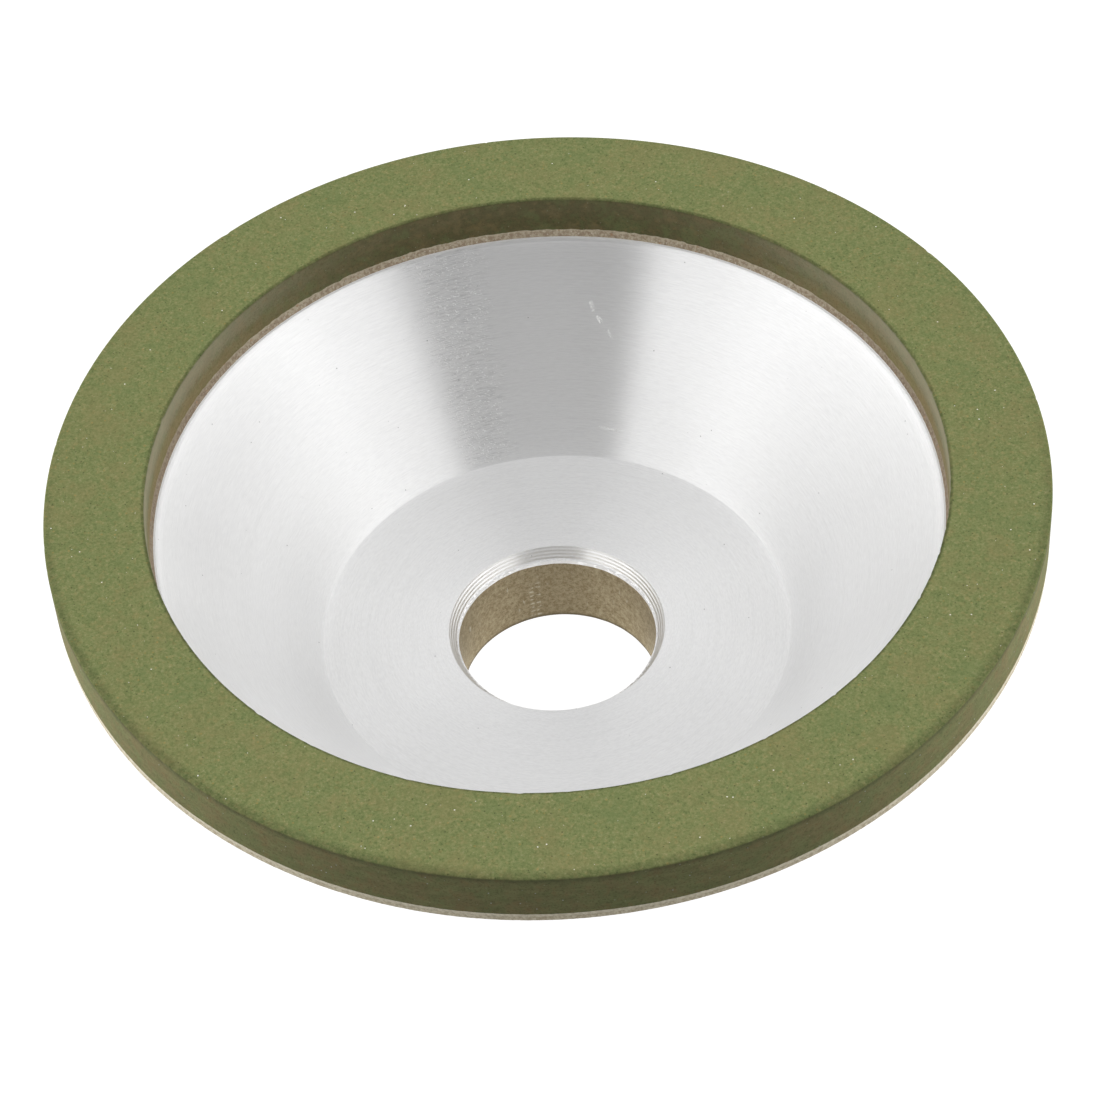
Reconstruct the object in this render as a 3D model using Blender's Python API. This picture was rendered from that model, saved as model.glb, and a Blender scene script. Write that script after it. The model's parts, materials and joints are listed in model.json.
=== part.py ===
"""Bowl-shaped resin-bond diamond grinding wheel.

The wheel stands on its back face: the origin is the centre of that face and +Z runs along the
spindle axis towards the grinding face. Units are metres. Every piece is a turned ring, so each one
is a closed outline in the (radius, height) plane, spun about the axis.

Four pieces make up the wheel:
  cup_body         turned aluminium bowl with a flat hub web and a chamfered bore mouth
  bore_bush        moulded bush seated in the hub from behind, up to a shoulder
  transition_ring  diamond-free moulded layer, keyed into the body's rim by a dovetail rib
  abrasive_ring    resin-bond diamond layer, moulded on the transition ring
"""

import math

import bmesh
import bpy
from mathutils import Vector

# Driving dimensions: diameter, height, bore, ring width and abrasive depth are the wheel's own
# size code, and the rest are its section.
WHEEL_DIAMETER = 0.100
WHEEL_HEIGHT = 0.035
BORE_DIAMETER = 0.020
RING_WIDTH = 0.010
ABRASIVE_DEPTH = 0.005
BACK_DIAMETER = 0.050
FLOOR_DIAMETER = 0.0487
FLOOR_DEPTH = 0.0234

# Rim of the body and the layers on it
FIT_GAP = 0.0003
TRANSITION_DEPTH = 0.0062
INNER_STRIP = 0.0005
LIP_DIAMETER = 0.0794
LIP_WIDTH = 0.0015
KEY_WIDTH = 0.0033
KEY_DEPTH = 0.0020
KEY_UNDERCUT = 0.0004
RIM_STEP = 0.0006
ABRASIVE_EDGE = 0.00025

# Hub, bore mouth and bush
MOUTH_DIAMETER = 0.0225
MOUTH_CHAMFER_DEPTH = 0.0015
MOUTH_EDGE_DIAMETER = 0.0204
MOUTH_LAND = 0.0003
SEAT_DIAMETER = 0.0250
SEAT_CHAMFER = 0.0005
BUSH_CHAMFER = 0.0012
BUSH_LEAD_IN = 0.0004
BACK_EDGE_RADIUS = 0.0008

SEGMENTS = 96
EDGE_STEPS = 3

OUTER_RADIUS = WHEEL_DIAMETER / 2
INNER_RADIUS = OUTER_RADIUS - RING_WIDTH
ABRASIVE_BASE = WHEEL_HEIGHT - ABRASIVE_DEPTH
TRANSITION_TOP = ABRASIVE_BASE - FIT_GAP / 2
TRANSITION_BASE = WHEEL_HEIGHT - TRANSITION_DEPTH
STRIP_BASE = TRANSITION_TOP - INNER_STRIP
LIP_HEIGHT = STRIP_BASE - FIT_GAP
RIM_HEIGHT = TRANSITION_BASE - FIT_GAP
FLOOR_HEIGHT = WHEEL_HEIGHT - FLOOR_DEPTH
MOUTH_EDGE_HEIGHT = FLOOR_HEIGHT - MOUTH_CHAMFER_DEPTH
SHOULDER_HEIGHT = MOUTH_EDGE_HEIGHT - MOUTH_LAND


def rounded(before, corner, after, radius, steps=EDGE_STEPS):
    """Points of the arc that rounds one corner of an outline."""
    corner = Vector(corner)
    to_before = (Vector(before) - corner).normalized()
    to_after = (Vector(after) - corner).normalized()
    half_angle = to_before.angle(to_after) / 2
    centre = corner + (to_before + to_after).normalized() * radius / math.sin(half_angle)
    reach = radius / math.tan(half_angle)
    start = corner + to_before * reach - centre
    end = corner + to_after * reach - centre
    sweep = math.pi - 2 * half_angle
    points = []
    for step in range(steps + 1):
        share = step / steps
        along = (math.sin((1 - share) * sweep) * start + math.sin(share * sweep) * end)
        points.append(tuple(centre + along / math.sin(sweep)))
    return points


def turned_ring(name, outline):
    """Spin a closed (radius, height) outline about the axis and return it as an object."""
    mesh = bpy.data.meshes.new(name)
    ring = bmesh.new()
    rows = []
    for index in range(SEGMENTS):
        angle = 2 * math.pi * index / SEGMENTS
        east, north = math.cos(angle), math.sin(angle)
        rows.append([ring.verts.new((radius * east, radius * north, height))
                     for radius, height in outline])
    count = len(outline)
    for index, row in enumerate(rows):
        next_row = rows[(index + 1) % SEGMENTS]
        for corner in range(count):
            following = (corner + 1) % count
            ring.faces.new((row[corner], next_row[corner], next_row[following], row[following]))
    bmesh.ops.recalc_face_normals(ring, faces=ring.faces)
    ring.to_mesh(mesh)
    ring.free()
    mesh.shade_smooth()
    mesh.set_sharp_from_angle(angle=math.radians(25))
    piece = bpy.data.objects.new(name, mesh)
    bpy.context.collection.objects.link(piece)
    return piece


def coat(piece, colour, roughness, metallic):
    """Give a piece its own Principled material."""
    material = bpy.data.materials.new(piece.name)
    material.use_nodes = True
    shader = material.node_tree.nodes["Principled BSDF"]
    shader.inputs["Base Color"].default_value = (*colour, 1.0)
    shader.inputs["Roughness"].default_value = roughness
    shader.inputs["Metallic"].default_value = metallic
    piece.data.materials.append(material)


def key_flanks(gap):
    """Radii of the dovetail's inner and outer flanks, at its root and at its foot.

    A gap of zero gives the groove in the body, and a positive one the rib that sits in it.
    """
    inner_root = LIP_DIAMETER / 2 + LIP_WIDTH + gap
    outer_root = LIP_DIAMETER / 2 + LIP_WIDTH + KEY_WIDTH - gap
    return inner_root, outer_root, inner_root - KEY_UNDERCUT, outer_root + KEY_UNDERCUT


def make_abrasive_ring():
    """Flat-faced ring with slightly softened working edges."""
    base = ABRASIVE_BASE + FIT_GAP / 2
    inner_base = (INNER_RADIUS, base)
    outer_base = (OUTER_RADIUS, base)
    inner_top = (INNER_RADIUS, WHEEL_HEIGHT)
    outer_top = (OUTER_RADIUS, WHEEL_HEIGHT)
    outline = [inner_base, outer_base]
    outline += rounded(outer_base, outer_top, inner_top, ABRASIVE_EDGE)
    outline += rounded(outer_top, inner_top, inner_base, ABRASIVE_EDGE)
    piece = turned_ring("abrasive_ring", outline)
    coat(piece, (0.215, 0.235, 0.095), 0.75, 0.0)


def make_transition_ring():
    """Layer under the abrasive: thin at its inner edge, deeper outside, with a dovetail rib."""
    inner_root, outer_root, inner_foot, outer_foot = key_flanks(FIT_GAP)
    foot = RIM_HEIGHT - KEY_DEPTH + FIT_GAP
    outline = [
        (INNER_RADIUS, STRIP_BASE),
        (inner_root, STRIP_BASE),
        (inner_foot, foot),
        (outer_foot, foot),
        (outer_root, TRANSITION_BASE),
        (OUTER_RADIUS, TRANSITION_BASE),
        (OUTER_RADIUS, TRANSITION_TOP),
        (INNER_RADIUS, TRANSITION_TOP),
    ]
    piece = turned_ring("transition_ring", outline)
    coat(piece, (0.260, 0.210, 0.150), 0.80, 0.0)


def make_cup_body():
    """Bowl of nearly even wall with a flat hub web, a grooved rim and a chamfered bore mouth."""
    inner_root, outer_root, inner_foot, outer_foot = key_flanks(0.0)
    foot = RIM_HEIGHT - KEY_DEPTH
    back_edge = (BACK_DIAMETER / 2, 0.0)
    rim_edge = (OUTER_RADIUS - RIM_STEP, RIM_HEIGHT)
    seat_radius = SEAT_DIAMETER / 2
    outline = [(seat_radius + SEAT_CHAMFER, 0.0)]
    outline += rounded(outline[0], back_edge, rim_edge, BACK_EDGE_RADIUS)
    outline += [
        rim_edge,
        (outer_root, RIM_HEIGHT),
        (outer_foot, foot),
        (inner_foot, foot),
        (inner_root, LIP_HEIGHT),
        (LIP_DIAMETER / 2, LIP_HEIGHT),
        (FLOOR_DIAMETER / 2, FLOOR_HEIGHT),
        (MOUTH_DIAMETER / 2, FLOOR_HEIGHT),
        (MOUTH_EDGE_DIAMETER / 2, MOUTH_EDGE_HEIGHT),
        (MOUTH_EDGE_DIAMETER / 2, SHOULDER_HEIGHT),
        (seat_radius, SHOULDER_HEIGHT),
        (seat_radius, SEAT_CHAMFER),
    ]
    piece = turned_ring("cup_body", outline)
    coat(piece, (0.800, 0.800, 0.800), 0.30, 1.0)


def make_bore_bush():
    """Plain bush, flush with the back face, with a lead-in at the seat and a chamfered bore."""
    inner = BORE_DIAMETER / 2
    outer = SEAT_DIAMETER / 2 - FIT_GAP
    top = SHOULDER_HEIGHT - FIT_GAP
    outline = [
        (inner + BUSH_CHAMFER, 0.0),
        (outer, 0.0),
        (outer, top - BUSH_LEAD_IN),
        (outer - BUSH_LEAD_IN, top),
        (inner, top),
        (inner, BUSH_CHAMFER),
    ]
    piece = turned_ring("bore_bush", outline)
    coat(piece, (0.270, 0.225, 0.155), 0.55, 0.0)


def clear_scene():
    for old in list(bpy.data.objects):
        bpy.data.objects.remove(old, do_unlink=True)


clear_scene()
make_cup_body()
make_bore_bush()
make_transition_ring()
make_abrasive_ring()
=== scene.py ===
"""Looks of a bowl-shaped resin-bond diamond grinding wheel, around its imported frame.

Every piece is a turned mesh: a closed outline in the (radius, height) plane, swept about the
spindle axis at a fine step, with small seeded irregularities where the real surface has them.
Lengths are in metres. The materials are procedural and work in millimetres, because that is the
scale of their grain. The grinding face looks up, +Y is the wheel's back and -Y its front.
"""

import json
import math
import random

import bmesh
import bpy
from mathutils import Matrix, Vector, noise


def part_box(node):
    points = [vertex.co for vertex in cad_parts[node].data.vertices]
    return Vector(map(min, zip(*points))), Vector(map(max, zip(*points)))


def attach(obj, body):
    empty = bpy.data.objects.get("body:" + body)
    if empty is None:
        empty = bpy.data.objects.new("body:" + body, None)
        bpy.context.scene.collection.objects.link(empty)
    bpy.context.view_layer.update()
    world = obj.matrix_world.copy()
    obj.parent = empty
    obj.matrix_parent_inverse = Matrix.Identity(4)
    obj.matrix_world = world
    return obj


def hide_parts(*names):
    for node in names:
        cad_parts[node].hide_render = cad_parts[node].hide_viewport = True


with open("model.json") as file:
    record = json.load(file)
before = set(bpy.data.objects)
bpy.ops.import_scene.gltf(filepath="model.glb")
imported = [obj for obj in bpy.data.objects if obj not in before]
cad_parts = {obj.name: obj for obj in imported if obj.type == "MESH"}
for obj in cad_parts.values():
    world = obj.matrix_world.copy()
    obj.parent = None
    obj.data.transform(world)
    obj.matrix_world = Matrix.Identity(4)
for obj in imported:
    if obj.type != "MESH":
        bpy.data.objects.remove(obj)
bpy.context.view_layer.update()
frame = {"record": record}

MM = 0.001

# Places read from the frame
ring_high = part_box("abrasive_ring")[1]
bush_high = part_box("bore_bush")[1]
mounts = {mount["name"]: mount for mount in frame["record"]["mounts"]}
TOP = ring_high.z
OUTER = ring_high.x
FLOOR = mounts["flange_face"]["pos_m"][2]
BACK = mounts["back_face"]["pos_m"][2]

# Section of the rim
RING_WIDTH = 10.0 * MM
INNER = OUTER - RING_WIDTH
INNER_SEAM = TOP - 4.42 * MM
OUTER_SEAM = TOP - 5.32 * MM
SEAM_BAND = 0.15 * MM
SEAM_OVERLAP = 0.02 * MM
EDGE_RADIUS = 0.28 * MM
STRIP_FOOT = TOP - 6.32 * MM
STRIP_INSET = 0.03 * MM
STRIP_FOOT_RADIUS = 0.05 * MM
BEAD_TOP = OUTER_SEAM - 0.36 * MM
BEAD_FOOT = OUTER_SEAM - 0.42 * MM

# Section of the bowl
LIP_TOP = TOP - 5.2 * MM
LIP_RADIUS = INNER - 0.40 * MM
LIP_SOFT = 0.05 * MM
LIP_GROOVE_DOWN = 0.42 * MM
LIP_GROOVE_WIDTH = 0.08 * MM
LIP_GROOVE_DEPTH = 0.007 * MM
FLOOR_RADIUS = 24.35 * MM
FLOOR_FILLET = 0.13 * MM
BACK_RADIUS = 25.0 * MM
BACK_EDGE = 0.8 * MM
RIM_STEP = 0.6 * MM
REST_GAP = 0.02 * MM

# Section of the bore
MOUTH_RADIUS = 11.25 * MM
MOUTH_EDGE_RADIUS = 10.42 * MM
MOUTH_DEPTH = 1.26 * MM
MOUTH_GROOVES = 4
MOUTH_GROOVE_DEPTH = 0.045 * MM
LAND_DEPTH = 0.32 * MM
LAND_RADIUS = MOUTH_EDGE_RADIUS - 0.11 * MM
BORE_RADIUS = 10.36 * MM
BORE_CHAMFER = 1.5 * MM
SEAT_GAP = 0.01 * MM
SEAT_RADIUS = bush_high.x + SEAT_GAP
SEAT_CHAMFER = 0.5 * MM

# Fineness of the meshes: steps about the axis, points between corners, points on an arc
FINE_STEPS = 1440
METAL_STEPS = 720
WALL_POINTS = 4
FACE_POINTS = 14
CONE_POINTS = 24
FLOOR_POINTS = 12
BORE_POINTS = 12
BACK_POINTS = 6
ARC_STEPS = 6
GROOVE_STEPS = 6
SHARP_ANGLE = math.radians(24)

# Irregularities. Waves are (size, seed, height) and chips are (count, half-length, depth, seed)
SEAM_WAVES = ((2.2 * MM, 3.0, 0.07 * MM), (0.55 * MM, 9.0, 0.13 * MM))
OUTER_SEAM_SHARE = 0.25
EDGE_WEAR = (0.5 * MM, 1.0, 0.0072 * MM)
STRIP_ROUGHNESS = (0.25 * MM, 20.0, 0.02 * MM)
BORE_UNEVENNESS = (1.2 * MM, 30.0, 0.02 * MM)
INNER_CHIPS = (45, (0.2 * MM, 0.5 * MM), (0.02 * MM, 0.09 * MM), 5)
OUTER_CHIPS = (22, (0.15 * MM, 0.4 * MM), (0.02 * MM, 0.07 * MM), 6)
SIDE_REACH = 1.0 * MM
TOP_REACH = 0.5 * MM
TOLERANCE = 0.01 * MM

# Diamond grains that stand out of the face
GRIT_COUNT = 170
GRIT_RADII = (0.035, 0.04, 0.05, 0.06, 0.09)
GRIT_SINK = 0.3
GRIT_LEAN = 0.35
GRIT_FACET = 0.3
GRIT_MARGIN = 0.5 * MM


# ---------------------------------------------------------------- meshes

def arc(centre, radius, start, end, steps):
    """Points on an arc in the (radius, height) plane, angles in degrees."""
    points = []
    for step in range(steps + 1):
        angle = math.radians(start + (end - start) * step / steps)
        points.append((centre[0] + radius * math.cos(angle), centre[1] + radius * math.sin(angle)))
    return points


def between(start, end, count):
    """Evenly spaced points from start towards end, both left out."""
    return [(start[0] + (end[0] - start[0]) * step / (count + 1),
             start[1] + (end[1] - start[1]) * step / (count + 1)) for step in range(1, count + 1)]


def around_axis(radius, angle, height):
    """Point at a radius, an angle about the axis and a height."""
    return radius * math.cos(angle), radius * math.sin(angle), height


def as_object(name, build):
    """Object with the mesh that was built."""
    mesh = bpy.data.meshes.new(name)
    build.to_mesh(mesh)
    build.free()
    piece = bpy.data.objects.new(name, mesh)
    bpy.context.collection.objects.link(piece)
    return piece


def turned(name, outline, steps, shift=None):
    """Sweep a closed outline about the axis. shift(radius, height, angle) moves a point."""
    build = bmesh.new()
    rows = []
    for index in range(steps):
        angle = 2 * math.pi * index / steps
        row = []
        for radius, height in outline:
            if shift:
                radius, height = shift(radius, height, angle)
            row.append(build.verts.new(around_axis(radius, angle, height)))
        rows.append(row)
    count = len(outline)
    for index, row in enumerate(rows):
        following = rows[(index + 1) % steps]
        for point in range(count):
            after = (point + 1) % count
            build.faces.new((row[point], following[point], following[after], row[after]))
    bmesh.ops.recalc_face_normals(build, faces=build.faces)
    piece = as_object(name, build)
    piece.data.shade_smooth()
    piece.data.set_sharp_from_angle(angle=SHARP_ANGLE)
    return piece


def wave(angle, radius, height, size, seed, rise):
    """Smooth noise from -rise to rise at a point of the wheel, with features of the given size."""
    place = Vector(around_axis(radius, angle, height)) / size
    return noise.noise(place + Vector((seed, -seed, seed * 0.5))) * rise


def near(value, target, reach):
    """1 at the target, falling to 0 at reach away from it."""
    return max(0.0, 1.0 - abs(value - target) / reach)


def make_chips(count, reach, depth, seed):
    """Seeded chips along an edge: (angle, half-length in metres, depth in metres)."""
    rng = random.Random(seed)
    return [(rng.uniform(0, 2 * math.pi), rng.uniform(*reach), rng.uniform(*depth))
            for _ in range(count)]


inner_chips = make_chips(*INNER_CHIPS)
outer_chips = make_chips(*OUTER_CHIPS)


def chip_depth(chips, angle, radius):
    """How far the chips eat into an edge at an angle."""
    total = 0.0
    for centre, half, depth in chips:
        away = abs((angle - centre + math.pi) % (2 * math.pi) - math.pi) * radius
        if away < half:
            total = max(total, depth * (1 - (away / half) ** 2))
    return total


def seam_wander(angle, radius):
    """Height by which the moulded seam between green and brown wanders."""
    return sum(wave(angle, radius, 0.0, *seam) for seam in SEAM_WAVES)


def abrasive_shift(radius, height, angle):
    """Ragged foot, softly uneven working edges and chips of the abrasive ring."""
    inner_side = near(radius, INNER, SIDE_REACH)
    outer_side = near(radius, OUTER, SIDE_REACH)
    if height < INNER_SEAM + TOLERANCE and inner_side > 0.5:
        return radius, height + seam_wander(angle, INNER)
    if height < OUTER_SEAM + TOLERANCE:
        return radius, height + OUTER_SEAM_SHARE * seam_wander(angle, OUTER)
    at_top = near(height, TOP, TOP_REACH)
    if at_top > 0.3:
        wear = wave(angle, radius, height, *EDGE_WEAR)
        if inner_side > 0.4:
            bite = chip_depth(inner_chips, angle, INNER) * at_top * inner_side
            return radius + bite + wear, min(TOP, height - bite)
        if outer_side > 0.4:
            bite = chip_depth(outer_chips, angle, OUTER) * at_top * outer_side
            return min(OUTER, radius - bite + wear), min(TOP, height - bite)
    return radius, height


def make_abrasive():
    """Green ring: dressed flat face, soft edges and as-moulded walls."""
    edge = EDGE_RADIUS
    wall_top = TOP - edge
    inner_band = (INNER, INNER_SEAM + SEAM_BAND)
    outer_band = (OUTER, OUTER_SEAM + SEAM_BAND)
    outline = [(INNER, INNER_SEAM), inner_band]
    outline += between(inner_band, (INNER, wall_top), WALL_POINTS)
    outline += arc((INNER + edge, wall_top), edge, 180, 90, ARC_STEPS)
    outline += between((INNER + edge, TOP), (OUTER - edge, TOP), FACE_POINTS)
    outline += arc((OUTER - edge, wall_top), edge, 90, 0, ARC_STEPS)
    outline += between((OUTER, wall_top), outer_band, WALL_POINTS)
    outline += [outer_band, (OUTER, OUTER_SEAM)]
    piece = turned("abrasive_layer", outline, FINE_STEPS, abrasive_shift)
    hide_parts("abrasive_ring")
    return piece


def transition_shift(radius, height, angle):
    """Granular faces of the moulded layer, with its top following the abrasive's ragged foot."""
    rough = wave(angle, radius, height, *STRIP_ROUGHNESS)
    if near(radius, INNER, 0.5 * MM) > 0:
        at_seam = height > INNER_SEAM - TOLERANCE
        return radius + rough, height + (seam_wander(angle, INNER) if at_seam else 0.0)
    if near(radius, OUTER, 0.3 * MM) > 0:
        return min(OUTER, radius + rough), height
    return radius, height


def make_transition():
    """Brown layer: a narrow sloping strip inside the bowl, and a band with a bead outside."""
    inner = INNER + STRIP_INSET
    outer = OUTER - STRIP_INSET
    inner_top = INNER_SEAM + SEAM_OVERLAP
    foot = (LIP_RADIUS + 0.12 * MM, LIP_TOP - 0.05 * MM)
    round_top = (outer, STRIP_FOOT + STRIP_FOOT_RADIUS)
    outline = [foot]
    outline += between(foot, (inner, inner_top), WALL_POINTS)
    outline += [(inner, inner_top), (INNER + 0.6 * MM, inner_top)]
    outline += [(OUTER - 0.4 * MM, OUTER_SEAM + SEAM_OVERLAP), (OUTER, OUTER_SEAM)]
    outline += [(OUTER, BEAD_TOP), (outer, BEAD_FOOT)]
    outline += between((outer, BEAD_FOOT), round_top, 2)
    outline += arc((outer - STRIP_FOOT_RADIUS, round_top[1]), STRIP_FOOT_RADIUS, 0, -90, 2)
    outline += [(OUTER - 1.5 * MM, STRIP_FOOT), (INNER + 0.8 * MM, foot[1])]
    piece = turned("transition_layer", outline, FINE_STEPS, transition_shift)
    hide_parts("transition_ring")
    return piece


LIP = Vector((LIP_RADIUS, LIP_TOP))
CONE_FOOT = Vector((FLOOR_RADIUS, FLOOR))
DOWN_CONE = (CONE_FOOT - LIP).normalized()
CONE_LENGTH = (CONE_FOOT - LIP).length


def into_metal(along):
    """Direction into the metal from a surface that runs down and inward."""
    return Vector((-along.y, along.x)).normalized()


def cone_point(down, sunk=0.0):
    """Point a distance down the bowl's conical wall from its lip, sunk into the metal."""
    return tuple(LIP + DOWN_CONE * down + into_metal(DOWN_CONE) * sunk)


def cone_section():
    """Lip with its bevel and the fine groove below it, the cone, and the corner at its foot."""
    groove_top = LIP_GROOVE_DOWN - LIP_GROOVE_WIDTH / 2
    groove_foot = cone_point(LIP_GROOVE_DOWN + LIP_GROOVE_WIDTH / 2)
    fillet_top = cone_point(CONE_LENGTH - FLOOR_FILLET)
    fillet_middle = CONE_FOOT - DOWN_CONE * FLOOR_FILLET * 0.35 - Vector((FLOOR_FILLET * 0.12, 0))
    points = [(LIP_RADIUS + 3 * LIP_SOFT, LIP_TOP),
              (LIP_RADIUS + 2 * LIP_SOFT, LIP_TOP - 0.2 * LIP_SOFT),
              cone_point(2 * LIP_SOFT), cone_point(2.6 * LIP_SOFT), cone_point(groove_top),
              cone_point(LIP_GROOVE_DOWN, LIP_GROOVE_DEPTH), groove_foot]
    points += between(groove_foot, fillet_top, CONE_POINTS)
    return points + [fillet_top, tuple(fillet_middle), (FLOOR_RADIUS - FLOOR_FILLET, FLOOR)]


def mouth_section():
    """Chamfer of the bore mouth, with the ridges of its coarse cut, and the narrow land below."""
    start = Vector((MOUTH_RADIUS, FLOOR - 0.03 * MM))
    edge_height = FLOOR - MOUTH_DEPTH
    along = Vector((MOUTH_EDGE_RADIUS, edge_height)) - start
    steps = MOUTH_GROOVES * GROOVE_STEPS
    points = []
    for step in range(steps + 1):
        share = step / steps
        swing = 0.5 - 0.5 * math.cos(2 * math.pi * share * MOUTH_GROOVES)
        points.append(tuple(start + along * share + into_metal(along) * MOUTH_GROOVE_DEPTH * swing))
    return points + [(LAND_RADIUS, edge_height - 0.05 * MM),
                     (LAND_RADIUS, edge_height - LAND_DEPTH)]


def back_section():
    """Seat of the bush, back face with its rounded edge, and the outer cone up to the rim."""
    shoulder = bush_high.z + REST_GAP
    back_start = (SEAT_RADIUS + SEAT_CHAMFER, BACK)
    points = [(MOUTH_EDGE_RADIUS, shoulder), (SEAT_RADIUS, shoulder),
              (SEAT_RADIUS, BACK + SEAT_CHAMFER), back_start]
    points += between(back_start, (BACK_RADIUS - BACK_EDGE, BACK), BACK_POINTS)
    rim = Vector((OUTER - RIM_STEP, STRIP_FOOT - REST_GAP))
    corner = Vector((BACK_RADIUS, BACK))
    up = (rim - corner).normalized()
    turn = up.angle(Vector((1, 0)))
    radius = BACK_EDGE * math.tan((math.pi - turn) / 2)
    centre = (BACK_RADIUS - BACK_EDGE, BACK + radius)
    points += arc(centre, radius, -90, -90 + math.degrees(turn), ARC_STEPS)
    points += between(tuple(corner + up * BACK_EDGE), tuple(rim), CONE_POINTS)
    return points + [tuple(rim), (INNER + 0.9 * MM, rim.y)]


def make_cup():
    """Turned bowl: lip, groove, cone, floor, grooved mouth chamfer, bush seat, back, outer cone."""
    floor_start = (FLOOR_RADIUS - FLOOR_FILLET, FLOOR)
    floor_end = (MOUTH_RADIUS + 0.05 * MM, FLOOR)
    outline = [(INNER + 0.5 * MM, LIP_TOP)] + cone_section()
    outline += between(floor_start, floor_end, FLOOR_POINTS) + [floor_end]
    outline += mouth_section() + back_section()
    piece = turned("cup_metal", outline, METAL_STEPS)
    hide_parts("cup_body")
    return piece


def bush_shift(radius, height, angle):
    """Slightly uneven as-moulded bore wall."""
    if radius < SEAT_RADIUS - 0.5 * MM:
        return radius + wave(angle, radius, height, *BORE_UNEVENNESS), height
    return radius, height


def make_bush():
    """Moulded bush: bore wall, back chamfer and the ring that shows round the bore at the back."""
    top = FLOOR - MOUTH_DEPTH - LAND_DEPTH
    low = BACK + BORE_CHAMFER
    outer = SEAT_RADIUS - SEAT_GAP
    outline = [(BORE_RADIUS + BORE_CHAMFER, BACK),
               (BORE_RADIUS + BORE_CHAMFER * 0.1, low - 0.1 * MM), (BORE_RADIUS, low)]
    outline += between((BORE_RADIUS, low), (BORE_RADIUS, top), BORE_POINTS)
    outline += [(BORE_RADIUS, top), (SEAT_RADIUS - 0.3 * MM, bush_high.z),
                (outer, bush_high.z - 0.3 * MM), (outer, BACK + 0.2 * MM),
                (SEAT_RADIUS - 0.2 * MM, BACK)]
    piece = turned("bush_moulding", outline, METAL_STEPS, bush_shift)
    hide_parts("bore_bush")
    return piece


def make_grit():
    """Diamond grains that stand a little out of the dressed face, as small closed crystals."""
    rng = random.Random(11)
    build = bmesh.new()
    for _ in range(GRIT_COUNT):
        angle = rng.uniform(0, 2 * math.pi)
        radius = rng.uniform(INNER + GRIT_MARGIN, OUTER - GRIT_MARGIN)
        size = rng.choice(GRIT_RADII) * MM
        centre = Vector(around_axis(radius, angle, TOP - size * GRIT_SINK))
        crystal = bmesh.ops.create_icosphere(build, subdivisions=1, radius=size)["verts"]
        lean = Vector((rng.uniform(-1, 1), rng.uniform(-1, 1), rng.uniform(-1, 1))) * GRIT_LEAN
        for vert in crystal:
            facet = 1.0 + GRIT_FACET * lean.dot(vert.co.normalized())
            vert.co = vert.co * facet + centre
    piece = as_object("diamond_grit", build)
    return piece


# ---------------------------------------------------------------- materials

def grey(level):
    """Neutral colour."""
    return level, level, level


class Nodes:
    """Adds nodes to one node tree. Values given as sockets are linked, and others are set."""

    def __init__(self, tree):
        self.tree = tree

    def put(self, socket, value):
        if isinstance(value, bpy.types.NodeSocket):
            self.tree.links.new(value, socket)
        elif value is not None:
            socket.default_value = value

    def outputs(self, kind, values, **settings):
        node = self.tree.nodes.new(kind)
        for key, value in settings.items():
            setattr(node, key, value)
        for index, value in (values.items() if isinstance(values, dict) else enumerate(values)):
            self.put(node.inputs[index], value)
        return node.outputs

    def add(self, kind, values, output=0, **settings):
        return self.outputs(kind, values, **settings)[output]

    def math(self, operation, first, second=None):
        return self.add("ShaderNodeMath", [first, second], operation=operation)

    def both(self, *masks):
        """Product of masks."""
        product = masks[0]
        for mask in masks[1:]:
            product = self.math("MULTIPLY", product, mask)
        return product

    def either(self, *masks):
        """Largest of masks."""
        largest = masks[0]
        for mask in masks[1:]:
            largest = self.math("MAXIMUM", largest, mask)
        return largest

    def outside_of(self, mask):
        """What a mask leaves out."""
        return self.math("SUBTRACT", 1.0, mask)

    def step(self, value, low, high, start=0.0, end=1.0):
        """Smooth step from start at low to end at high."""
        ends = {"Value": value, "From Min": low, "From Max": high, "To Min": start, "To Max": end}
        return self.add("ShaderNodeMapRange", ends, interpolation_type="SMOOTHSTEP")

    def level(self, share, first, second):
        """Mix of two values."""
        return self.add("ShaderNodeMix", {"Factor": share, "A": first, "B": second})

    def mix(self, share, first, second):
        """Mix of two colours."""
        node = self.tree.nodes.new("ShaderNodeMix")
        node.data_type = "RGBA"
        colours = [socket for socket in node.inputs if socket.type == "RGBA"]
        self.put(node.inputs["Factor"], share)
        for socket, value in zip(colours, (first, second)):
            self.put(socket, value if isinstance(value, bpy.types.NodeSocket) else (*value, 1.0))
        return next(socket for socket in node.outputs if socket.type == "RGBA")


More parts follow.
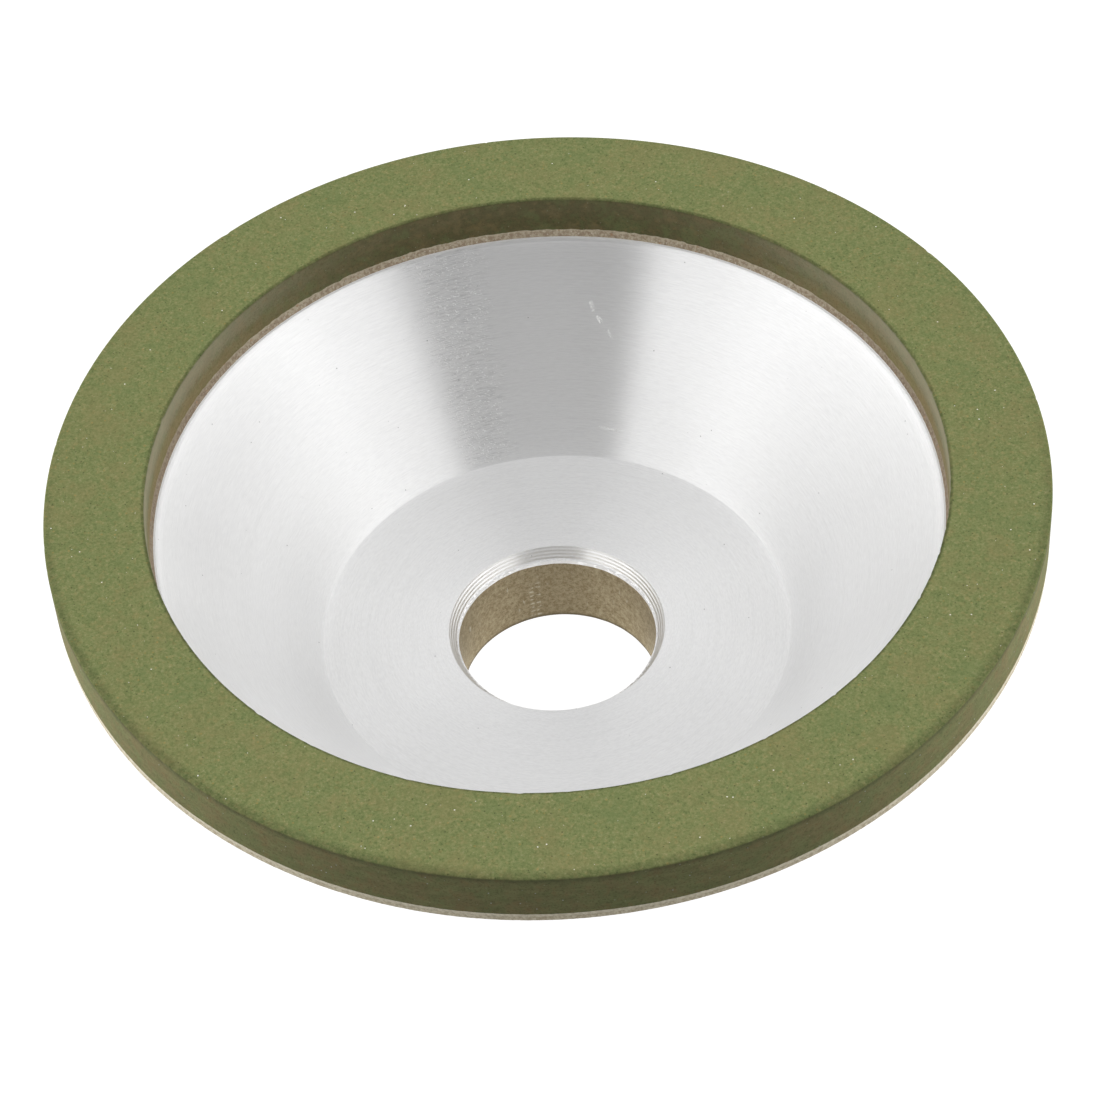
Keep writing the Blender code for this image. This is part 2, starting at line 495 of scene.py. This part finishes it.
class Surface(Nodes):
    """One material. Its positions are in millimetres from the wheel's origin."""

    def __init__(self, name):
        self.material = bpy.data.materials.new(name)
        self.material.use_nodes = True
        super().__init__(self.material.node_tree)
        self.shader = self.tree.nodes["Principled BSDF"]
        place = self.tree.nodes.new("ShaderNodeTexCoord").outputs["Object"]
        self.place = self.add("ShaderNodeVectorMath", [place, (1 / MM,) * 3], operation="MULTIPLY")
        self.x, self.y, self.z = self.outputs("ShaderNodeSeparateXYZ", [self.place])
        square = self.math("ADD", self.both(self.x, self.x), self.both(self.y, self.y))
        self.radius = self.math("SQRT", square)
        self.rightward = self.math("DIVIDE", self.x, self.radius)
        self.backward = self.math("DIVIDE", self.y, self.radius)
        self.sideways = self.math("ABSOLUTE", self.rightward)

    def ring_space(self, around, across, up):
        """Coordinates that follow the wheel: features are long around it and narrow across it."""
        east = self.both(self.rightward, around)
        north = self.both(self.backward, around)
        along = self.math("ADD", self.both(self.radius, across), self.both(self.z, up))
        return self.add("ShaderNodeCombineXYZ", [east, north, along])

    def noise(self, vector, scale, detail=2.0, rough=0.5):
        return self.add("ShaderNodeTexNoise", {"Vector": vector, "Scale": scale, "Detail": detail,
                                               "Roughness": rough})

    def ring_noise(self, around, across, up, detail=2.0, rough=0.5):
        """Noise drawn out along the wheel's turning direction."""
        return self.noise(self.ring_space(around, across, up), 1.0, detail, rough)

    def dots(self, scale, reach):
        """Mask of scattered dots. A greater scale packs them closer."""
        away = self.add("ShaderNodeTexVoronoi", {"Vector": self.place, "Scale": scale})
        return self.step(away, reach, reach / 2)

    def cell_values(self, scale):
        """A random value for each small grain."""
        colour = self.add("ShaderNodeTexVoronoi", {"Vector": self.place, "Scale": scale}, output=1)
        return self.add("ShaderNodeSeparateColor", [colour])

    def palette(self, value, stops):
        """Colour picked from stops of (place, colour)."""
        node = self.tree.nodes.new("ShaderNodeValToRGB")
        self.put(node.inputs[0], value)
        marks = node.color_ramp.elements
        while len(marks) < len(stops):
            marks.new(0.5)
        for mark, (place, colour) in zip(marks, stops):
            mark.position = place
            mark.color = (*colour, 1.0)
        return node.outputs[0]

    def stain(self, tone, stain, mask):
        """Tone under a stain, a pair of colour and full strength, where a mask is 1."""
        colour, strength = stain
        return self.mix(self.both(mask, strength), tone, colour)

    def bump(self, height, distance, strength, normal=None):
        values = {"Height": height, "Distance": distance, "Strength": strength, "Normal": normal}
        return self.add("ShaderNodeBump", values)

    def set(self, **values):
        """Set or link sockets of the shader, by name with underscores for spaces."""
        for key, value in values.items():
            self.put(self.shader.inputs[key.replace("_", " ")], value)
        return self.material


# Handling nicks on the cone: place around in degrees, then distance down from the lip, length,
# sideways run and half-width in millimetres
CONE_NICKS = ((79.6, 7.0, 0.8, 0.25, 0.23), (78.2, 8.5, 0.5, 0.35, 0.24),
              (76.2, 9.9, 0.7, 0.45, 0.12), (76.2, 20.4, 0.2, 2.4, 0.15),
              (24.0, 13.0, 0.3, 0.7, 0.05), (150.0, 15.0, 0.5, 0.2, 0.05))


def metal_nicks(surface):
    """Mask of the handling nicks, each a short straight scratch in the bowl wall."""
    masks = []
    for degrees, down, length, run, half in CONE_NICKS:
        ends = []
        for share in (0.0, 1.0):
            radius, height = cone_point((down + share * length) * MM)
            angle = math.radians(degrees) - share * run * MM / radius
            ends.append(Vector(around_axis(radius, angle, height)) / MM)
        along = ends[1] - ends[0]
        offset = surface.add("ShaderNodeVectorMath", [surface.place, tuple(ends[0])],
                             operation="SUBTRACT")
        share = surface.add("ShaderNodeVectorMath", [offset, tuple(along / along.length_squared)],
                            output="Value", operation="DOT_PRODUCT")
        share = surface.add("ShaderNodeClamp", [share])
        foot = surface.add("ShaderNodeVectorMath", {0: tuple(along), "Scale": share},
                           operation="SCALE")
        away = surface.add("ShaderNodeVectorMath", [offset, foot], output="Value",
                           operation="DISTANCE")
        masks.append(surface.step(away, half * 0.5, half, 1.0, 0.0))
    frayed = surface.step(surface.noise(surface.place, 5.0), 0.40, 0.52)
    return surface.both(surface.either(*masks), frayed)


def scuffed_patch(surface):
    """1 on the scuffed part of the cone, a sector left of its back, broken up at its edges."""
    wander = surface.level(surface.noise(surface.place, 0.5, 3.0), -0.07, 0.07)
    around = surface.math("ADD", surface.rightward, wander)
    sector = surface.both(surface.step(around, -0.37, -0.30), surface.step(around, -0.10, -0.20))
    on_cone = surface.step(surface.radius, FLOOR_RADIUS / MM, FLOOR_RADIUS / MM + 0.6)
    return surface.both(sector, on_cone, surface.step(surface.y, 18.0, 22.0))


# The outer cone is where radius - OUTER_CONE_SLOPE * height is past these limits, in millimetres
OUTER_CONE_SLOPE = 0.85
OUTER_CONE_LIMITS = (16.0, 17.0)

# Colours of the metal, and its stains, painted shade and painted light as pairs of colour and
# strength
METAL_DASH_DARK = (0.922, 0.922, 0.925)
METAL_DASH_PALE = grey(0.992)
METAL_TURNING_LINE = grey(0.70)
METAL_BRIGHT = grey(1.0)
METAL_CLOUD = (grey(0.75), 0.06)
METAL_SCUFF = (grey(0.50), 0.30)
METAL_PIT = (grey(0.35), 0.80)
METAL_OUTSIDE = ((0.60, 0.60, 0.61), 0.35)
METAL_LEFT_SHADE = (grey(0.50), 0.17)
METAL_CHAMFER_FLANK_LIGHT = (METAL_BRIGHT, 0.90)

METAL_ROUGH = 0.36
METAL_ROUGH_WEB = 0.42
METAL_ROUGH_CHAMFER = 0.29
METAL_ROUGH_BRIGHT = 0.80


def turned_metal():
    """Bright turned aluminium: fine rings, highlights drawn out across them, scuffs and nicks.

    The outer cone is duller, and burr and nicks are bright broken metal. The glints are painted
    highlights, mostly on the scuffed patch, and the lip has a painted highlight line. The bowl has
    painted shade high on its left, and the mouth chamfer has painted light on its flanks."""
    surface = Surface("turned_aluminium")
    rings = surface.ring_noise(1.5, 5.0, 5.0, 3.0, 0.7)
    brush = surface.ring_noise(20.0, 8.0, 8.0, 2.0, 0.6)
    dash = surface.ring_noise(30.0, 8.5, 8.5, 2.5, 0.65)
    cloud = surface.noise(surface.place, 0.12)
    slope = surface.both(surface.z, OUTER_CONE_SLOPE)
    outer = surface.step(surface.math("SUBTRACT", surface.radius, slope), *OUTER_CONE_LIMITS)
    bowl = surface.outside_of(outer)

    # Marks on the metal, and painted shade high on the left of the bowl
    scuffs = surface.both(scuffed_patch(surface), bowl)
    # Glints: painted highlights, mostly on the scuffed patch
    glints = surface.step(surface.ring_noise(95.0, 5.0, 5.0, 1.0), 0.60, 0.70)
    glints = surface.both(glints, surface.level(scuffs, 0.03, 1.0))
    pitted = surface.step(surface.noise(surface.place, 0.3), 0.46, 0.54)
    pits = surface.both(surface.dots(0.55, 0.05), pitted)
    turning = surface.both(surface.step(rings, 0.55, 0.35), surface.level(outer, 0.10, 0.30))
    dark = surface.both(surface.step(dash, 0.50, 0.34), scuffs)
    # Painted shade high on the left of the bowl, below the lip
    left_shade = surface.both(surface.step(surface.rightward, -0.65, -0.90),
                        surface.step(surface.z, LIP_TOP / MM - 12.0, LIP_TOP / MM - 3.0),
                        surface.step(surface.y, -8.0, 4.0), bowl)

    # Mouth chamfer, with painted light on its flanks, and its burred lower edge
    mouth = MOUTH_RADIUS / MM
    burr_edge = MOUTH_EDGE_RADIUS / MM
    chamfer = surface.step(surface.radius, mouth - 0.02, mouth - 0.08)
    flanks = surface.both(surface.step(surface.sideways, 0.25, 0.50),
                          surface.step(surface.y, -1.0, 3.0))
    burr = surface.both(surface.step(surface.radius, burr_edge + 0.09, burr_edge + 0.02),
                        surface.step(surface.noise(surface.place, 3.0, 1.0), 0.44, 0.58))
    # Painted highlight line along the lip
    lip = surface.step(surface.z, LIP_TOP / MM - 0.14, LIP_TOP / MM - 0.06, 0.0, 0.6)
    bright = surface.either(surface.both(glints, 0.8), metal_nicks(surface), burr,
                            surface.both(lip, bowl))

    tone = surface.mix(surface.step(dash, 0.32, 0.68), METAL_DASH_DARK, METAL_DASH_PALE)
    tone = surface.mix(turning, tone, METAL_TURNING_LINE)
    tone = surface.stain(tone, METAL_CLOUD, surface.step(cloud, 0.45, 0.75))
    tone = surface.stain(tone, METAL_SCUFF, dark)
    tone = surface.stain(tone, METAL_PIT, pits)
    tone = surface.stain(tone, METAL_OUTSIDE, outer)
    tone = surface.stain(tone, METAL_LEFT_SHADE, left_shade)
    # Painted light on the flanks of the mouth chamfer
    tone = surface.stain(tone, METAL_CHAMFER_FLANK_LIGHT, surface.both(chamfer, flanks))
    tone = surface.mix(bright, tone, METAL_BRIGHT)

    normal = surface.bump(rings, 0.008 * MM, 0.4)
    normal = surface.bump(brush, 0.004 * MM, 0.27, normal)
    normal = surface.bump(dash, 0.004 * MM, 0.38, normal)
    normal = surface.bump(bright, 0.03 * MM, 1.0, normal)
    web = surface.both(surface.step(surface.z, FLOOR / MM + 0.25, FLOOR / MM + 0.05), bowl)
    rough = surface.level(web, METAL_ROUGH, METAL_ROUGH_WEB)
    rough = surface.level(chamfer, rough, METAL_ROUGH_CHAMFER)
    rough = surface.level(bright, rough, METAL_ROUGH_BRIGHT)
    tangent = surface.add("ShaderNodeTangent", [], direction_type="RADIAL", axis="Z")
    return surface.set(Base_Color=tone, Metallic=surface.level(bright, 1.0, 0.35),
                       Roughness=rough, Normal=normal, Tangent=tangent,
                       Anisotropic=0.95, Anisotropic_Rotation=0.25)


def outer_half(surface):
    """0 at the inner wall of the rim and 1 at its outer wall."""
    return surface.step(surface.radius, INNER / MM + 2.0, OUTER / MM - 2.0)


# Dressed face of the green bond: ramps for its grains and its finer matrix, and its stains
FACE_GRAINS = ((0.00, (0.160, 0.192, 0.074)), (0.35, (0.196, 0.226, 0.088)),
               (0.68, (0.230, 0.244, 0.100)), (0.88, (0.270, 0.252, 0.108)),
               (1.00, (0.310, 0.255, 0.105)))
FACE_MATRIX = ((0.26, (0.050, 0.075, 0.034)), (0.40, (0.145, 0.185, 0.068)),
               (0.53, (0.222, 0.250, 0.102)), (0.64, (0.300, 0.300, 0.140)),
               (0.76, (0.480, 0.470, 0.290)))
FACE_MATRIX_SHARE = 0.65
FACE_BROWN = ((0.262, 0.222, 0.100), 0.30)
FACE_GREEN = ((0.150, 0.205, 0.080), 0.30)
FACE_PORE = ((0.060, 0.070, 0.034), 0.65)
FACE_RUST = ((0.400, 0.270, 0.090), 0.40)

# As-moulded skin of its walls: base colours, the paler inner-wall flank colour being painted light,
# then stains, painted light and painted shade
SKIN_INNER = (0.130, 0.116, 0.058)
SKIN_INNER_LIT_FLANK = (0.262, 0.240, 0.135)
SKIN_OUTER = (0.210, 0.210, 0.098)
SKIN_STREAK = ((0.100, 0.095, 0.045), 0.40)
SKIN_TAN = ((0.222, 0.172, 0.090), 0.40)
SKIN_GREEN = ((0.165, 0.195, 0.084), 0.40)
SKIN_BROWN = ((0.215, 0.160, 0.075), 0.50)
SKIN_OLIVE = ((0.125, 0.150, 0.062), 0.40)
SKIN_GRAIN = ((0.070, 0.072, 0.034), 0.45)
SKIN_DOT = ((0.330, 0.320, 0.220), 0.60)
SKIN_SPARK = ((0.520, 0.540, 0.520), 0.65)
SKIN_LIT = ((0.415, 0.385, 0.275), 0.50)
SKIN_WARM_LIGHT = ((0.315, 0.225, 0.105), 0.40)
SKIN_SHADE = ((0.060, 0.058, 0.056), 0.12)
SKIN_UNDER_EDGE = ((0.060, 0.066, 0.048), 0.20)
# Dark band along the working edges, with painted shade that makes it strongest at the front
EDGE_BAND_AND_SHADE = ((0.045, 0.055, 0.022), 1.0)


def dressed_face(surface):
    """Colour of the dressed face: green grains with brown clouds, dark pores and rusty dots."""
    cloud = surface.noise(surface.place, 0.22, 3.0, 0.6)
    grains = surface.palette(surface.cell_values(3.0), FACE_GRAINS)
    matrix = surface.palette(surface.noise(surface.place, 4.3, 3.0, 0.75), FACE_MATRIX)
    tone = surface.mix(FACE_MATRIX_SHARE, grains, matrix)
    tone = surface.stain(tone, FACE_BROWN, surface.step(cloud, 0.46, 0.66))
    tone = surface.stain(tone, FACE_GREEN, surface.step(cloud, 0.46, 0.32))
    tone = surface.stain(tone, FACE_PORE, surface.dots(1.3, 0.14))
    return surface.stain(tone, FACE_RUST, surface.dots(0.8, 0.12))


def moulded_skin(surface, streak):
    """Colour of the walls: streaked and patchy.

    The inner wall's flanks are paler, most near the top, and warmer at the foot, all of it painted
    light. The outer wall has painted shade at the front and is darker right under the working edge."""
    top = TOP / MM
    outside = outer_half(surface)
    inside = surface.outside_of(outside)
    mottle = surface.noise(surface.place, 1.3, 3.0, 0.65)
    patch = surface.noise(surface.place, 0.35, 3.0, 0.6)
    grains = surface.noise(surface.place, 4.5, 2.0, 0.7)
    # Paler painted light on the inner wall's flanks
    skin = surface.mix(surface.step(surface.sideways, 0.25, 0.95), SKIN_INNER, SKIN_INNER_LIT_FLANK)
    skin = surface.mix(outside, skin, SKIN_OUTER)
    skin = surface.stain(skin, SKIN_STREAK, surface.step(streak, 0.3, 0.7))
    skin = surface.stain(skin, SKIN_TAN, surface.step(patch, 0.50, 0.62))
    skin = surface.stain(skin, SKIN_GREEN, surface.step(patch, 0.50, 0.38))
    skin = surface.stain(skin, SKIN_BROWN, surface.step(mottle, 0.52, 0.68))
    skin = surface.stain(skin, SKIN_OLIVE, surface.step(mottle, 0.48, 0.34))
    skin = surface.stain(skin, SKIN_GRAIN, surface.step(grains, 0.50, 0.32))
    skin = surface.stain(skin, SKIN_DOT, surface.dots(1.3, 0.10))
    skin = surface.stain(skin, SKIN_SPARK, surface.both(surface.dots(0.9, 0.08), outside))
    # Painted light near the top of the inner wall, strongest on its flanks
    lit = surface.both(surface.step(surface.z, top - 3.4, top - 1.0), inside,
                       surface.step(surface.sideways, 0.5, 1.0, 0.1, 1.0))
    skin = surface.stain(skin, SKIN_LIT, lit)
    # Warmer painted light low on the inner wall's flanks
    warm_light = surface.both(surface.step(surface.z, top - 2.2, top - 3.4), inside,
                        surface.step(surface.sideways, 0.5, 0.95))
    skin = surface.stain(skin, SKIN_WARM_LIGHT, warm_light)
    # Painted shade at the front of the outer wall
    shade = surface.both(surface.step(surface.backward, -0.70, -0.95), outside)
    skin = surface.stain(skin, SKIN_SHADE, shade)
    under = surface.both(surface.step(surface.z, top - 1.2, top - 0.3), outside)
    return surface.stain(skin, SKIN_UNDER_EDGE, under)


def edge_band_and_shade(surface):
    """Mask of a dark band on the working edges; painted shade makes it strongest at the front."""
    top = TOP / MM
    front = surface.step(surface.backward, 0.2, -0.4)
    rim = surface.both(surface.step(surface.radius, OUTER / MM - 1.3, OUTER / MM - 0.3),
                       surface.level(front, 0.08, 0.38),
                       surface.step(surface.z, top - 0.8, top - 0.2))
    mouth = surface.both(surface.step(surface.radius, INNER / MM + 0.42, INNER / MM + 0.16),
                         surface.step(front, 0.0, 1.0, 0.46, 0.72),
                         surface.step(surface.z, top - 0.4, top - 0.1))
    patchiness = surface.step(surface.noise(surface.place, 1.4, 3.0), 0.30, 0.60, 0.45, 1.0)
    return surface.both(surface.either(rim, mouth), patchiness)


def resin_bond():
    """Green resin bond: matt grained face where it is dressed, darker smooth skin on the walls."""
    surface = Surface("green_resin_bond")
    face = surface.step(surface.z, TOP / MM - 0.24, TOP / MM - 0.08)
    streak = surface.ring_noise(20.0, 0.3, 1.5, 3.0, 0.7)
    colour = surface.mix(face, moulded_skin(surface, streak), dressed_face(surface))
    # Dark band on the working edges, strongest at the front as painted shade
    colour = surface.stain(colour, EDGE_BAND_AND_SHADE, edge_band_and_shade(surface))
    pitted = surface.both(surface.noise(surface.place, 4.2, 3.0, 0.7),
                          surface.level(face, 0.15, 1.0))
    normal = surface.bump(pitted, 0.07 * MM, 0.8)
    normal = surface.bump(streak, 0.02 * MM, 0.3, normal)
    return surface.set(Base_Color=colour, Roughness=surface.level(face, 0.55, 0.85),
                       Normal=normal, Specular_IOR_Level=0.01)


# Brown layer under the green: colours inside the bowl and outside, then stains, with a painted
# highlight along the bead and painted shade on the flanks inside the bowl
STRIP_DARK = ((0.342, 0.266, 0.188), (0.490, 0.425, 0.300))
STRIP_PALE = ((0.525, 0.455, 0.340), (0.680, 0.620, 0.475))
STRIP_GAP = ((0.130, 0.092, 0.062), (0.380, 0.330, 0.230))
STRIP_GAP_STRENGTH = 0.35
STRIP_BEAD_HIGHLIGHT = ((0.88, 0.84, 0.70), 0.28)
STRIP_GRAIN = ((0.78, 0.74, 0.62), 0.40)
STRIP_FRINGE = ((0.62, 0.55, 0.41), 0.35)
STRIP_FLANK_SHADE = ((0.150, 0.105, 0.072), 0.52)
STRIP_RUST = ((0.420, 0.230, 0.120), 0.50)


def granular_moulding():
    """Pale brown diamond-free layer: fine pale and dark grains, dull, darker inside the bowl."""
    surface = Surface("brown_granular_moulding")
    outside = outer_half(surface)
    bowl = surface.outside_of(outside)
    grains = surface.noise(surface.place, 2.7, 3.0, 0.7)
    dark, pale, gap = (surface.mix(outside, *pair) for pair in (STRIP_DARK, STRIP_PALE, STRIP_GAP))
    tone = surface.mix(surface.step(grains, 0.38, 0.62), dark, pale)
    tone = surface.stain(tone, (gap, STRIP_GAP_STRENGTH), surface.dots(1.7, 0.24))
    # Painted highlight along the top of the bead outside
    bead = surface.step(surface.z, BEAD_TOP / MM - 0.03, BEAD_TOP / MM + 0.03)
    tone = surface.stain(tone, STRIP_BEAD_HIGHLIGHT, surface.both(bead, outside))
    tone = surface.stain(tone, STRIP_GRAIN, surface.dots(2.2, 0.28))
    fringe = surface.step(surface.z, INNER_SEAM / MM - 0.30, INNER_SEAM / MM - 0.08)
    tone = surface.stain(tone, STRIP_FRINGE, surface.both(fringe, bowl))
    # Painted shade on the strip's flanks inside the bowl
    flanks = surface.step(surface.sideways, 0.65, 1.0)
    tone = surface.stain(tone, STRIP_FLANK_SHADE, surface.both(flanks, bowl))
    tone = surface.stain(tone, STRIP_RUST, surface.dots(0.8, 0.16))
    normal = surface.bump(grains, 0.04 * MM, 0.5)
    return surface.set(Base_Color=tone, Roughness=0.75, Normal=normal, Specular_IOR_Level=0.05)


# Bush: colours of its clouds, then stains and painted shade
BUSH_DARK = (0.262, 0.204, 0.112)
BUSH_PALE = (0.450, 0.382, 0.250)
BUSH_MARK = ((0.74, 0.72, 0.62), 0.50)
BUSH_FINE_DARK = ((0.145, 0.102, 0.056), 0.50)
BUSH_FINE_PALE = ((0.520, 0.450, 0.315), 0.50)
BUSH_SHADE = ((0.150, 0.118, 0.066), 1.0)
BUSH_SHADE_MIDDLE = 0.24
BUSH_SHADE_SIDES = 0.28
BUSH_RUB = ((0.72, 0.70, 0.60), 0.50)
BUSH_FOOT = ((0.110, 0.088, 0.050), 0.70)

# Rub marks in the bore: radians of the rungs' sine for each millimetre of height, and how far
# left of the middle the marks are, as a share of the radius
RUNG_RATE = 10.0
RUB_PLACE = 0.20


def rub_marks(surface):
    """Mask of two thin columns of short rub marks across the back of the bore wall."""
    rungs = surface.step(surface.math("SINE", surface.both(surface.z, RUNG_RATE)), 0.2, 0.8)
    broken = surface.step(surface.noise(surface.place, 2.0, 1.0), 0.40, 0.60)
    away = surface.math("ABSOLUTE", surface.math("ADD", surface.rightward, RUB_PLACE))
    columns = surface.both(surface.step(away, 0.005, 0.020), surface.step(away, 0.065, 0.045))
    at_back = surface.step(surface.y, 0.0, 1.0)
    return surface.both(rungs, broken, columns, at_back, surface.step(surface.z, 7.4, 6.8))


def mottled_moulding():
    """Brown bush: cloudy mottling, faint pale marks along the axis, rub marks and a dark foot."""
    surface = Surface("brown_mottled_moulding")
    cloud = surface.noise(surface.place, 2.0, 5.0, 0.8)
    fine = surface.noise(surface.place, 6.5, 3.0, 0.75)
    marks = surface.ring_noise(22.0, 0.0, 0.5, 3.0, 0.6)
    tone = surface.mix(surface.step(cloud, 0.35, 0.65), BUSH_DARK, BUSH_PALE)
    tone = surface.stain(tone, BUSH_MARK, surface.step(marks, 0.64, 0.76))
    tone = surface.stain(tone, BUSH_FINE_DARK, surface.step(fine, 0.54, 0.66))
    tone = surface.stain(tone, BUSH_FINE_PALE, surface.step(fine, 0.42, 0.30))
    shade = surface.math("ADD", surface.step(surface.sideways, 0.6, 0.1, 0.0, BUSH_SHADE_MIDDLE),
                         surface.step(surface.sideways, 0.7, 1.0, 0.0, BUSH_SHADE_SIDES))
    tone = surface.stain(tone, BUSH_SHADE, shade)
    tone = surface.stain(tone, BUSH_RUB, rub_marks(surface))
    low = BORE_CHAMFER / MM
    tone = surface.stain(tone, BUSH_FOOT, surface.step(surface.z, low + 0.45, low + 0.12))
    normal = surface.bump(cloud, 0.04 * MM, 0.4)
    normal = surface.bump(fine, 0.02 * MM, 0.4, normal)
    return surface.set(Base_Color=tone, Roughness=0.60, Normal=normal, Specular_IOR_Level=0.10)


def diamond():
    """Pale yellow-white grains that catch the light."""
    surface = Surface("diamond_grain")
    tone = surface.mix(surface.noise(surface.place, 0.8), (0.90, 0.84, 0.60), (1.0, 1.0, 0.95))
    return surface.set(Base_Color=tone, Roughness=0.15, IOR=2.2)


# ---------------------------------------------------------------- stage, light and camera

FLOOR_SIZE = 6.0
FLOOR_DROP = 0.02 * MM

# Light that the floor gives the wheel from afar, and the calmer light from close to the wheel,
# with the radii in millimetres between which it starts, ends and grows
GLOW_SIDES = 2.75
GLOW_BACK = 0.85
GLOW_FRONT = 0.05
CALM_NEAR = 0.22
CALM_FAR = 0.52
CALM_START = (13.0, 20.0)
CALM_END = (110.0, 60.0)
CALM_RISE = (25.0, 60.0)

# Brightness of the tent by height, and of the dark gap at its front from middle to edge
TENT_LOW_SIDE = 3.0
TENT_LOW_BACK = 1.25
TENT_LOW_FRONT = 0.12
TENT_MIDDLE_LEFT = 1.38
TENT_MIDDLE_RIGHT = 1.33
TENT_MIDDLE_BACK = 1.07
TENT_MIDDLE_FRONT = 1.35
TENT_HIGH_SIDE = 1.88
TENT_HIGH_BACK = 1.07
TENT_HIGH_FRONT = 1.42
TENT_ZENITH = 1.09
TENT_GAP_MIDDLE = 0.27
TENT_GAP_EDGE = 0.20

CAMERA_PLACE = (0.0, -0.2440, TOP + 0.26045)
CAMERA_TURN = (41.824, 2.893, -3.203)
CAMERA_LENS = 117.6
CAMERA_SENSOR = 36.0


def heading(nodes, east, north):
    """How far a direction points to the back: 1 straight back, 0 to a side, -1 to the front."""
    square = nodes.math("ADD", nodes.both(east, east), nodes.both(north, north))
    return nodes.math("DIVIDE", north, nodes.math("SQRT", nodes.math("ADD", square, 1e-9)))


def make_stage():
    """Plain white floor, evenly bright to the camera.

    It lights the wheel as the tent does, brightest from the sides, and is calmer close to the
    wheel, so that the outer cone isn't washed out."""
    build = bmesh.new()
    bmesh.ops.create_grid(build, x_segments=1, y_segments=1, size=FLOOR_SIZE)
    floor = as_object("floor", build)
    floor.location.z = BACK - FLOOR_DROP
    surface = Surface("pale_floor")
    facing = heading(surface, surface.x, surface.y)
    sides = surface.step(facing, 0.2, 0.9, GLOW_SIDES, GLOW_BACK)
    front = surface.step(facing, -0.90, -0.30)
    glow = surface.level(front, GLOW_FRONT, sides)
    close = surface.both(surface.step(surface.radius, *CALM_START),
                         surface.step(surface.radius, *CALM_END))
    calm = surface.both(surface.step(surface.radius, *CALM_RISE, CALM_NEAR, CALM_FAR),
                        surface.level(front, CALM_NEAR, 1.0))
    glow = surface.level(close, glow, calm)
    seen = surface.tree.nodes.new("ShaderNodeLightPath").outputs["Is Camera Ray"]
    surface.set(Base_Color=(0.15, 0.15, 0.15, 1.0), Roughness=1.0, Specular_IOR_Level=0.0,
                Emission_Color=(1.0, 1.0, 1.0, 1.0),
                Emission_Strength=surface.level(seen, glow, 1.0))
    floor.data.materials.append(surface.material)


def make_light():
    """Soft white tent, brightest low down at the two sides and darker behind the camera."""
    world = bpy.data.worlds.new("tent")
    world.use_nodes = True
    bpy.context.scene.world = world
    nodes = Nodes(world.node_tree)
    nodes.tree.nodes.clear()
    direction = nodes.tree.nodes.new("ShaderNodeTexCoord").outputs["Generated"]
    east, north, up = nodes.outputs("ShaderNodeSeparateXYZ", [direction])
    facing = heading(nodes, east, north)
    back = nodes.step(facing, 0.78, 0.96)
    right = nodes.step(east, -0.1, 0.1)

    # The gap at the front, with an edge that is a little different on each side
    gap = nodes.step(facing, -0.99, -0.93, TENT_GAP_MIDDLE, TENT_GAP_EDGE)
    edge_start = nodes.level(right, -0.870, -0.885)
    edge_end = nodes.level(right, -0.800, -0.720)
    beside = nodes.step(facing, edge_start, edge_end)
    away = nodes.step(facing, -0.7, -0.2)

    # Brightness by height
    low = nodes.level(back, TENT_LOW_SIDE, TENT_LOW_BACK)
    low = nodes.level(nodes.step(facing, -0.85, -0.1), TENT_LOW_FRONT, low)
    middle = nodes.level(right, TENT_MIDDLE_LEFT, TENT_MIDDLE_RIGHT)
    middle = nodes.level(back, middle, TENT_MIDDLE_BACK)
    middle = nodes.level(beside, gap, nodes.level(away, TENT_MIDDLE_FRONT, middle))
    high = nodes.level(back, TENT_HIGH_SIDE, TENT_HIGH_BACK)
    high = nodes.level(beside, gap, nodes.level(away, TENT_HIGH_FRONT, high))
    strength = nodes.level(nodes.step(up, 0.06, 0.20), low, middle)
    strength = nodes.level(nodes.step(up, 0.30, 0.42), strength, high)
    strength = nodes.level(nodes.step(up, 0.68, 0.85), strength, TENT_ZENITH)
    background = nodes.add("ShaderNodeBackground", {"Strength": strength})
    nodes.outputs("ShaderNodeOutputWorld", [background])


def make_camera():
    """Camera in front of the wheel and above it."""
    lens = bpy.data.cameras.new("camera")
    lens.sensor_width = CAMERA_SENSOR
    lens.lens = CAMERA_LENS
    lens.clip_start = 0.01
    camera = bpy.data.objects.new("camera", lens)
    bpy.context.collection.objects.link(camera)
    camera.location = CAMERA_PLACE
    camera.rotation_euler = [math.radians(turn) for turn in CAMERA_TURN]
    bpy.context.scene.camera = camera


make_camera()
make_light()
make_stage()
for make, material in ((make_cup, turned_metal), (make_bush, mottled_moulding),
                       (make_transition, granular_moulding), (make_abrasive, resin_bond),
                       (make_grit, diamond)):
    piece = make()
    piece.data.materials.append(material())
    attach(piece, "root")

bpy.context.scene.view_settings.view_transform = "Standard"
